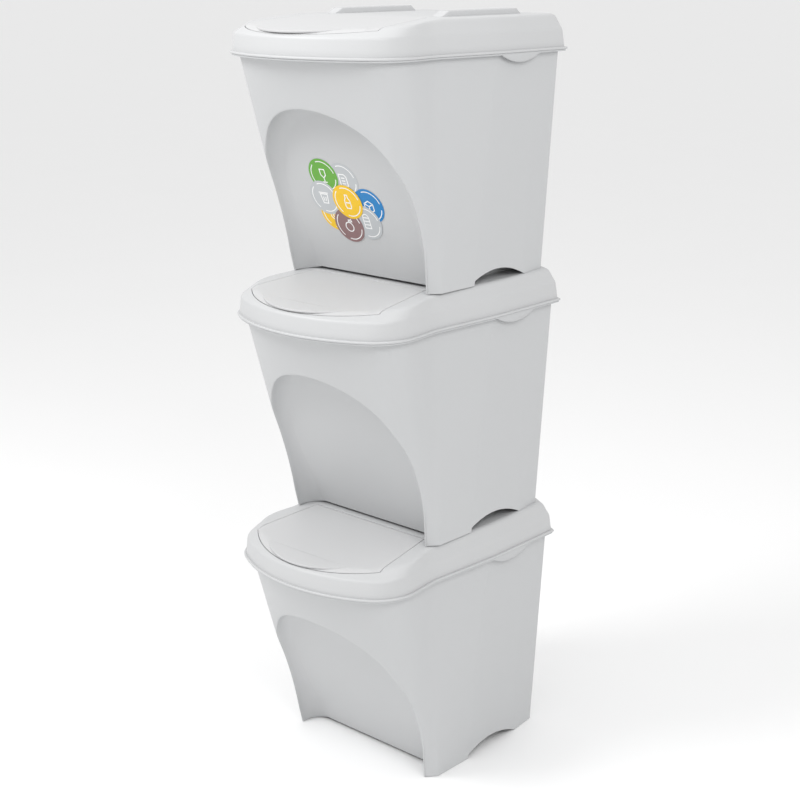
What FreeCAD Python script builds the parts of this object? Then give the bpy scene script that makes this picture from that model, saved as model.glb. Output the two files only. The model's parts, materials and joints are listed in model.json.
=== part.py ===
import FreeCAD, Part
import math
import os

V = FreeCAD.Vector

# Three sorting bins stacked on one another, each with a lift-off lid and a front flap.
# Millimetres, +Z up. The origin is on the ground under the middle of the lids' outline,
# and the flaps face -Y.

doc = FreeCAD.newDocument("SortingBinStack")
sheet = doc.addObject("Spreadsheet::Sheet", "Sizes")

# Sizes that are set by themselves.
SIZES = [
    # lid outline, seen from above
    ("lidLength", 392.0),        # front of the bead to its back
    ("lidWidth", 282.0),         # across the bead along the rear half
    ("bulgeIn", 2.5),            # the round front's widest place, in from the lid's side
    ("waistIn", 7.5),            # the waist behind it, in from the lid's side
    ("waistBack", 138.0),        # the waist, back from the front
    ("frontRadius", 215.0),
    ("cornerRadius", 60.0),      # radius of the two front corners
    ("backChamferX", 24.0),
    ("backChamferY", 14.0),
    # heights of one bin
    ("pitch", 328.0),            # from one bin's feet to the next one's feet
    ("lidRise", 44.0),           # from the rim to the lid's top
    ("skirtHeight", 25.0),       # from the rim to the top of the lid's skirt
    ("wallUp", 12.0),            # the bin's wall above its rim, inside the lid
    ("floorHeight", 20.0),       # top of the raised floor
    ("wall", 2.4),               # wall of bin and lid
    ("rimWidth", 6.5),           # how far the rim flange stands out
    ("rimThick", 2.4),
    ("rimInset", 8.0),           # bead's outline to the bin's wall at the top
    # feet: distances back from the lid's front or in from its back and sides
    ("footFrontBack", 134.0),    # front of the feet
    ("footTipIn", 28.0),         # front tips of the feet
    ("footSideIn", 15.0),        # behind the cut front corner
    ("footCutLength", 16.0),
    ("notchFrontIn", 13.5),
    ("notchBackIn", 15.5),
    ("notchFrontFromBack", 182.0),
    ("notchBackFromBack", 74.0),
    ("notchHeight", 15.5),
    ("notchStep", 6.0),
    ("notchFrontClear", 2.0),    # from the side wall's front crease to the notch
    ("notchBackClear", 1.0),
    ("footBackSideIn", 19.5),
    ("footBackIn", 25.5),
    ("footBackCut", 8.0),
    ("creaseFrontFromBack", 146.0),   # top ends of the creases in the side walls
    ("creaseBackFromBack", 70.0),
    # arched recess in the front wall
    ("archIn", 19.0),            # its widest place, in from the lid's side
    ("archWideZ", 95.0),         # height of the widest place
    ("archTopDown", 106.0),      # its top, down from the next bin's feet
    ("archFootIn", 27.5),        # its side at the ground
    ("archFootBend", 3.0),       # how far its side still leans out at the ground
    ("archBelow", 30.0),         # how far the cut runs on below the ground
    ("archAhead", 90.0),         # and ahead of the wall
    ("recessDepth", 29.0),
    ("recessRadius", 22.0),      # the hollow corner all round the recess
    # hand grips under the rim
    ("gripDrop", 9.0),
    ("gripStand", 6.4),
    ("gripThick", 2.0),
    # lid
    ("beadHeight", 3.0),
    ("beadStand", 2.5),          # how far the bead stands out from the skirt
    ("creaseInset", 5.0),
    ("topFrontInset", 41.0),     # from the bead's outline to the flat top
    ("topSideInset", 12.5),
    ("topBackInset", 13.0),
    ("frontFall", 0.088),        # slope of the top in front of the hinge
    ("ridgeWidth", 16.0),        # the two ridges that the next bin sits round
    ("ridgeOuterIn", 45.0),      # their outer faces, in from the lid's side
    ("ridgeFrontFromBack", 210.0),
    ("ridgeBackFromBack", 54.0),
    ("ridgeHeight", 7.0),
    ("ridgeFrontWedge", 14.0),   # length of the sloping front end
    ("ridgeBackWedge", 8.4),
    # flap: distances back from the lid's front or in from its sides
    ("flapBackBack", 153.0),     # back edge
    ("flapBackIn", 44.5),
    ("flapCornerIn", 31.5),
    ("flapCornerBack", 54.5),
    ("flapFrontBack", 10.0),
    ("flapThick", 2.4),
    ("flapGap", 0.9),            # gap at the sides and front
    ("flapBackGap", 2.0),
    ("ledgeWidth", 5.0),         # the ledge that the flap rests on
    ("ledgeThick", 2.0),
    ("ledgeClear", 0.4),
    ("lipIn", 69.0),             # the level finger lip
    ("lipSideBack", 38.0),
    ("lipFrontBack", 7.5),
    ("hingeBack", 6.0),          # hinge axis, in front of the flap's back edge
    ("hingeDrop", 4.8),          # and below the lid's top
    ("pinRadius", 1.6),
    ("pinLength", 6.0),          # of the pin that lies in its socket
    ("pinClear", 0.08),
    ("earThick", 4.0),
    ("earInset", 2.0),           # from the flap's side edge to the ear
    ("earHalf", 3.0),            # half length of an ear or socket, front to back
    ("socketWall", 2.0),
    ("socketGap", 0.8),          # opening's side edge to the socket block
    ("socketFloor", 0.5),        # from a pin's end to the bottom of its socket
    ("overlap", 0.5),            # how far an ear or socket block runs into the skin above
    # sorting labels on the top bin
    ("labelRadius", 24.0),
    ("labelThick", 0.15),
    ("labelGap", 0.05),
]

# Places worked out from them, with Y = 0 in the middle of the lid's length.
PLACES = [
    ("frontY", "-lidLength / 2"),
    ("backY", "lidLength / 2"),
    ("backHalfWidth", "lidWidth / 2"),
    ("frontHalfWidth", "lidWidth / 2 - bulgeIn"),
    ("waistHalfWidth", "lidWidth / 2 - waistIn"),
    ("waistY", "frontY + waistBack"),
    ("rimHeight", "pitch - lidRise"),
    ("creaseHeight", "pitch - lidRise + skirtHeight"),
    ("wallTop", "pitch - lidRise + wallUp"),
    ("footFrontY", "frontY + footFrontBack"),
    ("footTipHalf", "lidWidth / 2 - footTipIn"),
    ("footSideHalf", "lidWidth / 2 - footSideIn"),
    ("footSideY", "footFrontY + footCutLength"),
    ("notchFrontHalf", "lidWidth / 2 - notchFrontIn"),
    ("notchBackHalf", "lidWidth / 2 - notchBackIn"),
    ("notchFrontY", "backY - notchFrontFromBack"),
    ("notchBackY", "backY - notchBackFromBack"),
    ("footBackHalf", "lidWidth / 2 - footBackSideIn"),
    ("footBackY", "backY - footBackIn"),
    ("creaseFrontY", "backY - creaseFrontFromBack"),
    ("creaseBackY", "backY - creaseBackFromBack"),
    ("archHalf", "lidWidth / 2 - archIn"),
    ("archFootHalf", "lidWidth / 2 - archFootIn"),
    ("archTopZ", "pitch - archTopDown"),
    ("ridgeOuter", "lidWidth / 2 - ridgeOuterIn"),
    ("ridgeInner", "ridgeOuter - ridgeWidth"),
    ("ridgeFrontY", "backY - ridgeFrontFromBack"),
    ("ridgeBackY", "backY - ridgeBackFromBack"),
    ("flapBackY", "frontY + flapBackBack"),
    ("flapBackHalf", "lidWidth / 2 - flapBackIn"),
    ("flapCornerHalf", "lidWidth / 2 - flapCornerIn"),
    ("flapCornerY", "frontY + flapCornerBack"),
    ("flapFrontY", "frontY + flapFrontBack"),
    ("lipHalf", "lidWidth / 2 - lipIn"),
    ("lipSideY", "frontY + lipSideBack"),
    ("lipFrontY", "frontY + lipFrontBack"),
    ("hingeY", "flapBackY - hingeBack"),
    ("hingeZ", "pitch - hingeDrop"),
    ("flapSlope", "(flapCornerHalf - flapBackHalf) / (flapBackY - flapCornerY)"),
    ("hingeHalf", "flapBackHalf + flapSlope * hingeBack"),
    ("earStart", "hingeHalf - earInset - earThick"),
    ("socketStart", "hingeHalf + flapGap + socketGap"),
]

rows = [(alias, str(value)) for alias, value in SIZES]
rows += [(alias, "=" + formula) for alias, formula in PLACES]
for row, (alias, text) in enumerate(rows, start=1):
    sheet.set("A%d" % row, alias)
    sheet.set("B%d" % row, text)
    sheet.setAlias("B%d" % row, alias)
    doc.recompute()


class Size:
    """The sheet's values, read by name."""

    def __getattr__(self, alias):
        return float(sheet.get(alias))


size = Size()
BIG = 600.0      # longer than any side of a bin
PAST = 1.0       # how far a cut runs past the face it opens


def line(a, b):
    return Part.LineSegment(a, b).toShape()


def arc(centre, radius, start, end):
    """Arc in a level plane, from angle start to angle end in degrees."""
    def at(angle):
        turn = math.radians(angle)
        return V(centre.x + radius * math.cos(turn), centre.y + radius * math.sin(turn), centre.z)
    return Part.Arc(at(start), at(0.5 * (start + end)), at(end)).toShape()


def bezier(poles):
    curve = Part.BezierCurve()
    curve.setPoles(poles)
    return curve.toShape()


def ring(half):
    """Closed wire from the edges of its right half, front to back, on the plane X = 0."""
    left = [edge.mirror(V(0, 0, 0), V(1, 0, 0)) for edge in reversed(half)]
    return Part.Wire(Part.__sortEdges__(half + left))


def between(lower, upper):
    return Part.makeLoft([ring(lower), ring(upper)], True, True)


def prism(wire, z, height):
    face = Part.Face(wire)
    face.translate(V(0, 0, z))
    return face.extrude(V(0, 0, height))


def lidHalf(z, front, side, back):
    """Right half of the lid's outline, set in by front, side and back."""
    topY = size.frontY + front
    big = size.frontRadius - front
    small = size.cornerRadius - (front + side) / 2
    bulge = size.frontHalfWidth - side
    waist = size.waistHalfWidth - side
    rear = size.backHalfWidth - side
    bigY = topY + big
    cornerX = bulge - small
    cornerY = bigY - math.sqrt((big - small) ** 2 - cornerX ** 2)
    meet = math.degrees(math.atan2(cornerY - bigY, cornerX))
    backY = size.backY - back
    bend = (size.waistY - cornerY) / 3
    a = V(bulge, cornerY, z)
    b = V(waist, size.waistY, z)
    c = V(rear, size.creaseFrontY, z)
    d = V(rear, size.creaseBackY, z)
    e = V(rear, backY - size.backChamferY, z)
    f = V(rear - size.backChamferX, backY, z)
    return [
        arc(V(0, bigY, z), big, -90, meet),
        arc(V(cornerX, cornerY, z), small, meet, 0),
        bezier([a, a + V(0, bend, 0), b - V(0, bend, 0), b]),
        line(b, c),
        line(c, d),
        line(d, e),
        line(e, f),
        line(f, V(0, backY, z)),
    ]


def footHalf(z, inset):
    """Right half of the bin's outline on the ground, set in by inset."""
    slide = 0.4 * inset      # a cut corner's ends slide along as its face moves in
    a = V(0, size.footFrontY + inset, z)
    b = V(size.footTipHalf - 1.5 * slide, size.footFrontY + inset, z)
    d = V(size.footSideHalf - inset, size.footSideY + slide, z)
    c = (b + d) * 0.5
    e = V(size.notchFrontHalf - inset, size.notchFrontY, z)
    f = V(size.notchBackHalf - inset, size.notchBackY, z)
    g = V(size.footBackHalf - inset, size.footBackY - size.footBackCut, z)
    k = V(size.footBackHalf - size.footBackCut - slide, size.footBackY - inset, z)
    points = [a, b, c, d, e, f, g, k, V(0, size.footBackY - inset, z)]
    return [line(p, q) for p, q in zip(points, points[1:])]


def wallAngle():
    """Lean of the front wall, from the ground to the rim."""
    topY = size.frontY + size.rimInset
    return math.atan2(size.footFrontY - topY, size.wallTop)


def archCutter(grow):
    """The space in front of the recess; grow makes it larger on every side."""
    lean = wallAngle()
    stretch = 1 / math.cos(lean)
    wide = size.archHalf + grow
    foot = size.archFootHalf + grow
    middle = size.archWideZ * stretch
    top = size.archTopZ * stretch + grow
    low = -size.archBelow
    centre = V(0, middle, 0)
    if top - middle >= wide:
        oval = Part.Ellipse(V(0, top, 0), V(wide, middle, 0), centre)
        upper = Part.ArcOfEllipse(oval, -math.pi / 2, math.pi / 2)
    else:
        oval = Part.Ellipse(V(wide, middle, 0), V(0, top, 0), centre)
        upper = Part.ArcOfEllipse(oval, 0, math.pi)
    sides = []
    for sign in (1, -1):
        a = V(sign * wide, middle, 0)
        b = V(sign * foot, 0, 0)
        leanOut = V(sign * size.archFootBend, middle * 0.35, 0)
        sides.append(bezier([a, a - V(0, middle * 0.4, 0), b + leanOut, b]))
        sides.append(line(b, V(sign * foot, low, 0)))
    sides.append(line(V(foot, low, 0), V(-foot, low, 0)))
    wire = Part.Wire(Part.__sortEdges__([upper.toShape()] + sides))
    depth = size.recessDepth + grow
    block = Part.Face(wire).extrude(V(0, 0, -depth))
    rims = [e for e in block.Edges
            if abs(e.BoundBox.ZMax + depth) < 0.01 and e.BoundBox.YMax > low + PAST]
    block = block.makeFillet(size.recessRadius + grow, rims)
    block = block.fuse(Part.Face(wire).extrude(V(0, 0, size.archAhead))).removeSplitter()
    # stand the arch up on the leaning front wall: X across, Y up the wall, Z out of it
    matrix = FreeCAD.Matrix()
    matrix.A = (1, 0, 0, 0,
                0, -math.sin(lean), -math.cos(lean), size.footFrontY,
                0, math.cos(lean), -math.sin(lean), 0,
                0, 0, 0, 1)
    return block.transformGeometry(matrix)


def notchCutter():
    """The low arch cut through both side walls between the feet."""
    front = size.notchFrontY + size.notchFrontClear
    back = size.notchBackY - size.notchBackClear
    peak = front + 0.4 * (back - front)
    a = V(0, front, -PAST)
    b = V(0, front, size.notchStep)
    c = V(0, peak, size.notchHeight)
    d = V(0, back, 0)
    curve = Part.BSplineCurve()
    curve.interpolate([b, V(0, 0.45 * front + 0.55 * peak, size.notchHeight * 0.86), c,
                       V(0, 0.4 * peak + 0.6 * back, size.notchHeight * 0.66), d])
    e = V(0, back, -PAST)
    wire = Part.Wire([line(a, b), curve.toShape(), line(d, e), line(e, a)])
    face = Part.Face(wire)
    face.translate(V(-BIG / 2, 0, 0))
    return face.extrude(V(BIG, 0, 0))


def slab(low, high):
    return Part.makeBox(BIG, BIG, high - low, V(-BIG / 2, -BIG / 2, low))


def rimShape():
    """Flange round the outside of the wall, with a hand grip hanging from each side."""
    low = size.rimHeight - size.rimThick
    outer = size.rimInset - size.rimWidth
    flange = prism(ring(lidHalf(0, outer, outer, outer)), low, size.rimThick)
    reach = size.backHalfWidth - size.rimInset
    drop = size.gripDrop
    front = V(0, size.creaseFrontY, low)
    back = V(0, size.creaseBackY, low)
    dip = V(0, 0.6 * size.creaseFrontY + 0.4 * size.creaseBackY, low - drop)
    face = Part.Face(Part.Wire([Part.Arc(front, dip, back).toShape(), line(back, front)]))
    grips = []
    for sign in (1, -1):
        grip = face.extrude(V(sign * size.gripThick, 0, 0))
        grip.translate(V(sign * (reach + size.gripStand - size.gripThick), 0, 0))
        grips.append(grip)
    return flange.multiFuse(grips)


def binShape():
    outer = between(footHalf(0, 0), lidHalf(size.wallTop, size.rimInset, size.rimInset, size.rimInset))
    inset = size.rimInset + size.wall
    inner = between(footHalf(0, size.wall), lidHalf(size.wallTop, inset, inset, inset))
    behind = archCutter(size.wall)
    room = inner.cut(behind)
    cavity = room.common(slab(size.floorHeight, BIG))
    under = room.common(slab(-PAST, size.floorHeight - size.wall))
    shell = outer.fuse(rimShape()).cut(cavity).cut(under).cut(archCutter(0.0)).cut(notchCutter())
    return shell.removeSplitter()


def underFall(drop):
    """Everything below the lid's top: level behind the hinge, falling to the front."""
    fall = size.frontFall * BIG
    back = size.pitch - drop
    points = [V(0, BIG, 0), V(0, BIG, back), V(0, size.flapBackY, back),
              V(0, size.flapBackY - BIG, back - fall), V(0, size.flapBackY - BIG, 0)]
    face = Part.Face(Part.makePolygon(points + points[:1]))
    face.translate(V(-BIG / 2, 0, 0))
    return face.extrude(V(BIG, 0, 0))


def lidBlock(thin):
    """The lid as one block; thin sets every face in by that much."""
    low = size.rimHeight
    skirt = size.beadStand + thin
    crease = size.creaseInset + thin
    lower = between(lidHalf(low - (PAST if thin else 0), skirt, skirt, skirt),
                    lidHalf(size.creaseHeight, crease, crease, crease))
    upper = between(lidHalf(size.creaseHeight, crease, crease, crease),
                    lidHalf(size.pitch - thin, size.topFrontInset + thin * 0.4,
                            size.topSideInset + thin * 0.6, size.topBackInset + thin * 0.6))
    return lower.fuse(upper).common(underFall(thin))


def flapFace(grow, rear):
    """Plan outline of the flap, larger by grow at the sides and by rear at the back."""
    backY = size.flapBackY + rear
    backHalf = size.flapBackHalf + grow - size.flapSlope * rear
    a = V(backHalf, backY, 0)
    b = V(size.flapCornerHalf + grow, size.flapCornerY, 0)
    front = Part.Arc(b, V(0, size.flapFrontY - grow, 0), V(-b.x, b.y, 0)).toShape()
    wire = Part.Wire([line(a, b), front, line(V(-b.x, b.y, 0), V(-a.x, a.y, 0)), line(V(-a.x, a.y, 0), a)])
    return Part.Face(wire)


def column(face, low=0.0):
    lifted = face.copy()
    lifted.translate(V(0, 0, low))
    return lifted.extrude(V(0, 0, BIG))


def ridgeShape(sign):
    """Raised rail on the lid's top, wedge shaped at both ends."""
    z = size.pitch
    top = z + size.ridgeHeight
    front = size.ridgeFrontY
    back = size.ridgeBackY
    points = [V(0, front, z), V(0, front + size.ridgeFrontWedge, top),
              V(0, back - size.ridgeBackWedge, top), V(0, back, z)]
    points += [V(0, back, z - size.wall / 2), V(0, front, z - size.wall / 2)]
    face = Part.Face(Part.makePolygon(points + points[:1]))
    face.translate(V(sign * size.ridgeInner, 0, 0))
    return face.extrude(V(sign * (size.ridgeOuter - size.ridgeInner), 0, 0))


def ledgeShape():
    """Step round the front and sides of the opening, and the ledge the flap rests on."""
    under = size.flapThick + size.ledgeClear
    back = -(size.hingeBack + 2 * size.earHalf)
    bottom = lidBlock(under + size.ledgeThick)
    outside = column(flapFace(size.flapGap + size.wall, back))
    step = lidBlock(0.0).cut(bottom).common(outside.cut(column(flapFace(size.flapGap, 0.0))))
    ledge = lidBlock(under).cut(bottom).common(outside.cut(column(flapFace(-size.ledgeWidth, 0.0))))
    low = size.creaseHeight - under - size.ledgeThick
    return step.fuse(ledge).common(slab(low, BIG))


def mirrored(shape):
    return shape.mirror(V(0, 0, 0), V(1, 0, 0))


def socketBlock():
    """Block under the lid's top, at the right, that takes one hinge pin of the flap."""
    low = size.hingeZ - size.pinRadius - size.pinClear - size.socketWall
    high = size.pitch - size.wall + size.overlap
    half = size.earHalf + size.socketWall / 2
    return Part.makeBox(size.pinLength + size.socketWall, 2 * half, high - low,
                        V(size.socketStart, size.hingeY - half, low))


def socketBore():
    start = size.hingeHalf + size.flapGap / 2
    end = size.socketStart + size.pinLength + size.socketFloor
    return Part.makeCylinder(size.pinRadius + size.pinClear, end - start,
                             V(start, size.hingeY, size.hingeZ), V(1, 0, 0))


def lidShape():
    beadIn = size.beadStand + size.wall
    bead = prism(ring(lidHalf(0, 0, 0, 0)), size.rimHeight, size.beadHeight)
    bead = bead.cut(prism(ring(lidHalf(0, beadIn, beadIn, beadIn)), size.rimHeight - PAST,
                          size.beadHeight + 2 * PAST))
    block = socketBlock().common(underFall(size.wall / 2))
    bore = socketBore()
    shell = lidBlock(0.0).cut(lidBlock(size.wall)).fuse(bead)
    shell = shell.multiFuse([ridgeShape(1), ridgeShape(-1)])
    shell = shell.cut(column(flapFace(size.flapGap, size.flapBackGap)))
    shell = shell.multiFuse([ledgeShape(), block, mirrored(block)])
    return shell.cut(bore).cut(mirrored(bore)).removeSplitter()


def plateShape():
    """The flap's skin, with the finger lip running on level over its falling front edge."""
    skin = lidBlock(0.0).cut(lidBlock(size.flapThick)).common(column(flapFace(0.0, 0.0)))
    left = V(-size.lipHalf, size.lipSideY, 0)
    right = V(size.lipHalf, size.lipSideY, 0)
    edge = Part.Arc(left, V(0, size.lipFrontY, 0), right).toShape()
    outline = Part.Face(Part.Wire([edge, line(right, left)]))
    lip = underFall(0.0).cut(underFall(size.flapThick)).common(column(outline))
    return skin.fuse(lip).removeSplitter()


def feature(name, shape, level=0):
    """Sub-part with a worked-out shape, lifted to its bin's level."""
    item = doc.addObject("Part::Feature", name)
    item.Label = name
    item.Shape = shape
    item.setExpression("Placement.Base.z", "Sizes.pitch * %d" % level)
    return item


def hingeEar(name, sign):
    """Ear under the flap that carries a hinge pin."""
    ear = doc.addObject("Part::Box", name)
    ear.setExpression("Length", "Sizes.earThick")
    ear.setExpression("Width", "2 * Sizes.earHalf")
    ear.setExpression("Height", "Sizes.hingeDrop - Sizes.flapThick + Sizes.earHalf + Sizes.overlap")
    side = "Sizes.earStart" if sign > 0 else "-Sizes.earStart - Sizes.earThick"
    ear.setExpression("Placement.Base.x", side)
    ear.setExpression("Placement.Base.y", "Sizes.hingeY - Sizes.earHalf")
    ear.setExpression("Placement.Base.z", "Sizes.hingeZ - Sizes.earHalf")
    return ear


def hingePin(name, sign):
    """Stub pin that stands out of an ear into the lid's socket."""
    pin = doc.addObject("Part::Cylinder", name)
    pin.Placement.Rotation = FreeCAD.Rotation(V(0, 1, 0), 90 * sign)
    start = "Sizes.earStart + Sizes.earThick / 2"
    pin.setExpression("Radius", "Sizes.pinRadius")
    pin.setExpression("Height", "Sizes.socketStart + Sizes.pinLength - (%s)" % start)
    pin.setExpression("Placement.Base.x", "%d * (%s)" % (sign, start))
    pin.setExpression("Placement.Base.y", "Sizes.hingeY")
    pin.setExpression("Placement.Base.z", "Sizes.hingeZ")
    return pin


def addFlap(place, level, plate):
    skin = doc.addObject("Part::Feature", place + "_flap_skin")
    skin.Shape = plate
    pieces = [skin]
    for side, sign in (("right", 1), ("left", -1)):
        pieces.append(hingeEar("%s_%s_ear" % (place, side), sign))
        pieces.append(hingePin("%s_%s_pin" % (place, side), sign))
    flap = doc.addObject("Part::MultiFuse", place + "_flap")
    flap.Label = place + "_flap"
    flap.Shapes = pieces
    flap.setExpression("Placement.Base.z", "Sizes.pitch * %d" % level)
    return flap


# Each label: place across and up the recess's sloping back, and the layer it lies in.
LABELS = [
    ("label_paper", 1.0, 130.6, 0),
    ("label_glass", -32.0, 133.6, 1),
    ("label_card", 32.0, 97.6, 1),
    ("label_metal", 20.0, 72.6, 2),
    ("label_foil", -33.0, 78.6, 0),
    ("label_mixed", -42.0, 101.6, 2),
    ("label_compost", -13.0, 64.6, 3),
    ("label_plastic", -3.0, 99.6, 4),
]


def addLabel(name, across, up, layer, level):
    """Round sticker on the back of the recess, face outwards."""
    disc = doc.addObject("Part::Cylinder", name)
    disc.Label = name
    disc.setExpression("Radius", "Sizes.labelRadius")
    disc.setExpression("Height", "Sizes.labelThick")
    lean = wallAngle()
    away = V(0, -math.cos(lean), -math.sin(lean))
    upward = V(0, -math.sin(lean), math.cos(lean))
    lift = size.labelGap + layer * (size.labelThick + size.labelGap) - size.recessDepth
    base = V(across, size.footFrontY, level * size.pitch) + upward * up + away * lift
    disc.Placement = FreeCAD.Placement(base, FreeCAD.Rotation(V(0, 0, 1), away))
    return disc


parts = []
binOne = binShape()
lidOne = lidShape()
plateOne = plateShape()
for level, place in enumerate(("bottom", "middle", "top")):
    parts.append(feature(place + "_bin", binOne, level))
    parts.append(feature(place + "_lid", lidOne, level))
    parts.append(addFlap(place, level, plateOne))
for name, across, up, layer in LABELS:
    parts.append(addLabel(name, across, up, layer, 2))

doc.recompute()
for item in doc.Objects:
    if "Invalid" in item.State or "Error" in item.State:
        raise RuntimeError("%s did not build: %s" % (item.Label, item.State))
for item in parts:
    if item.Shape.isNull() or not item.Shape.isValid():
        raise RuntimeError("%s has no valid shape" % item.Label)

os.makedirs("parts", exist_ok=True)
for item in parts:
    item.Shape.exportStep("parts/%s.step" % item.Label)
    print(item.Label, len(item.Shape.Solids), "solid", round(item.Shape.Volume / 1000.0, 1), "cm3")
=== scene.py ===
import json
import math

import bpy
import bmesh
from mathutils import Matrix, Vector
from mathutils.bvhtree import BVHTree


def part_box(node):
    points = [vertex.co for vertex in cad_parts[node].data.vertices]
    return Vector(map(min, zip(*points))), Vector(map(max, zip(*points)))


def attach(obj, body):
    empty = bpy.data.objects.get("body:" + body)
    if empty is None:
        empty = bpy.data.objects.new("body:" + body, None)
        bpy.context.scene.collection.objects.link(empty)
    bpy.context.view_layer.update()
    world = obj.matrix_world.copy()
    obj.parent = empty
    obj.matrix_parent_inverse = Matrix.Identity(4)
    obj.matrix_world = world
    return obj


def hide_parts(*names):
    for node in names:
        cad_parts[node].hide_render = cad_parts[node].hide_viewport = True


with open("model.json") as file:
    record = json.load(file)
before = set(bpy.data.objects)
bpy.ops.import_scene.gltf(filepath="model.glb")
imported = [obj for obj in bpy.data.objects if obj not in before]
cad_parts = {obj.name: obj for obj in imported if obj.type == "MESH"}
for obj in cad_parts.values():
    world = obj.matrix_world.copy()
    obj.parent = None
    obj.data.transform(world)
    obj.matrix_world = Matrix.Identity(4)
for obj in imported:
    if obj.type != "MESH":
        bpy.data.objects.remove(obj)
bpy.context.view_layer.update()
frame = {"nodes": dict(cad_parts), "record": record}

print("frame loaded,", len(frame["nodes"]), "nodes")

# Lengths are millimetres in one bin's own frame until a mesh is made from them:
# feet at Z 0, flap towards -Y, and Y 0 in the middle of the lid.
mm = 0.001
levels = ("bottom", "middle", "top")
pitch = (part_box("middle_lid")[0].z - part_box("bottom_lid")[0].z) / mm


def mix(a, b, f):
    return a + (b - a) * f


def unit(v):
    return v / v.length


def bend(start, corner, end, steps):
    # points on a quadratic curve that rounds off a corner
    return [mix(mix(start, corner, f), mix(corner, end, f), f)
            for f in (k / steps for k in range(steps + 1))]


def filletAt(before, corner, after, reach, steps):
    a = corner + unit(before - corner) * min(reach, 0.45 * (before - corner).length)
    b = corner + unit(after - corner) * min(reach, 0.45 * (after - corner).length)
    return bend(a, corner, b, steps)


class HalfMesh:
    # grows the right half of a piece from rows of points; build() mirrors and welds it

    def __init__(self):
        self.points = []
        self.faces = []

    def rows(self, rows, closed=False):
        wide = len(rows[0])
        start = len(self.points)
        for row in rows:
            self.points.extend(Vector(p) for p in row)
        for r in range(len(rows) - 1):
            for c in range(wide if closed else wide - 1):
                a = start + r * wide + c
                b = start + r * wide + (c + 1) % wide
                self.faces.append((a, b, b + wide, a + wide))

    def fan(self, row):
        start = len(self.points)
        self.points.extend(Vector(p) for p in row)
        self.faces.append(tuple(range(start, start + len(row))))

    def build(self, weld=0.02):
        mesh = bmesh.new()
        for sign in (1, -1):
            made = [mesh.verts.new((p.x * sign * mm, p.y * mm, p.z * mm)) for p in self.points]
            for face in self.faces:
                corners = [made[i] for i in face]
                mesh.faces.new(corners if sign > 0 else corners[::-1])
        bmesh.ops.remove_doubles(mesh, verts=mesh.verts, dist=weld * mm)
        bmesh.ops.dissolve_degenerate(mesh, edges=mesh.edges, dist=weld * mm)
        bmesh.ops.recalc_face_normals(mesh, faces=mesh.faces)
        return mesh


def meshObject(name, mesh, thickness=0.0, bevel=0.0, sharp=35.0, outward=None):
    # outward is a point and the way that the skin's normal should look there
    data = bpy.data.meshes.new(name)
    if outward is not None:
        spot, way = Vector(outward[0]) * mm, Vector(outward[1])
        near = min(mesh.faces, key=lambda f: (f.calc_center_median() - spot).length)
        if near.normal.dot(way) < 0:
            bmesh.ops.reverse_faces(mesh, faces=mesh.faces)
    mesh.to_mesh(data)
    mesh.free()
    made = bpy.data.objects.new(name, data)
    bpy.context.scene.collection.objects.link(made)
    if thickness:
        skin = made.modifiers.new("skin", "SOLIDIFY")
        skin.thickness = thickness * mm
        skin.offset = -1.0
        skin.use_even_offset = True
        skin.use_quality_normals = True
    if bevel:
        edge = made.modifiers.new("edge", "BEVEL")
        edge.width = bevel * mm
        edge.segments = 2
        edge.limit_method = "ANGLE"
        edge.angle_limit = math.radians(55)
        edge.use_clamp_overlap = False
    if thickness or bevel:
        ready = bpy.data.meshes.new_from_object(made.evaluated_get(bpy.context.evaluated_depsgraph_get()))
        made.modifiers.clear()
        for corner in ready.vertices:
            corner.co.z = max(corner.co.z, 0.0)      # nothing reaches below the feet
        made.data = ready
        ready.name = name
    made.data.shade_smooth()
    made.data.set_sharp_from_angle(angle=math.radians(sharp))
    return made


def joined(pieces, name):
    bpy.ops.object.select_all(action="DESELECT")
    for piece in pieces:
        piece.select_set(True)
    bpy.context.view_layer.objects.active = pieces[0]
    bpy.ops.object.join()
    pieces[0].name = name
    return pieces[0]


def onEachLevel(piece, part, body, material):
    # one copy for each bin of the stack, standing in for the same CAD node
    for level, place in enumerate(levels):
        copy = bpy.data.objects.new(place + "_" + part + "_skin", piece.data)
        bpy.context.scene.collection.objects.link(copy)
        copy.location.z = level * pitch * mm
        if not copy.data.materials:
            copy.data.materials.append(material)
        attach(copy, place + "_" + body)
        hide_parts(place + "_" + part)
    bpy.data.objects.remove(piece)


class Wire:
    # one output of a shader node; sums and products of it add Math nodes

    def __init__(self, finish, socket):
        self.finish = finish
        self.socket = socket

    def maths(self, operation, a, b):
        return self.finish.node("ShaderNodeMath", {"operation": operation}, {0: a, 1: b})

    def __add__(self, other):
        return self.maths("ADD", self, other)

    def __radd__(self, other):
        return self.maths("ADD", other, self)

    def __sub__(self, other):
        return self.maths("SUBTRACT", self, other)

    def __rsub__(self, other):
        return self.maths("SUBTRACT", other, self)

    def __mul__(self, other):
        return self.maths("MULTIPLY", self, other)

    def __rmul__(self, other):
        return self.maths("MULTIPLY", other, self)


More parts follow.
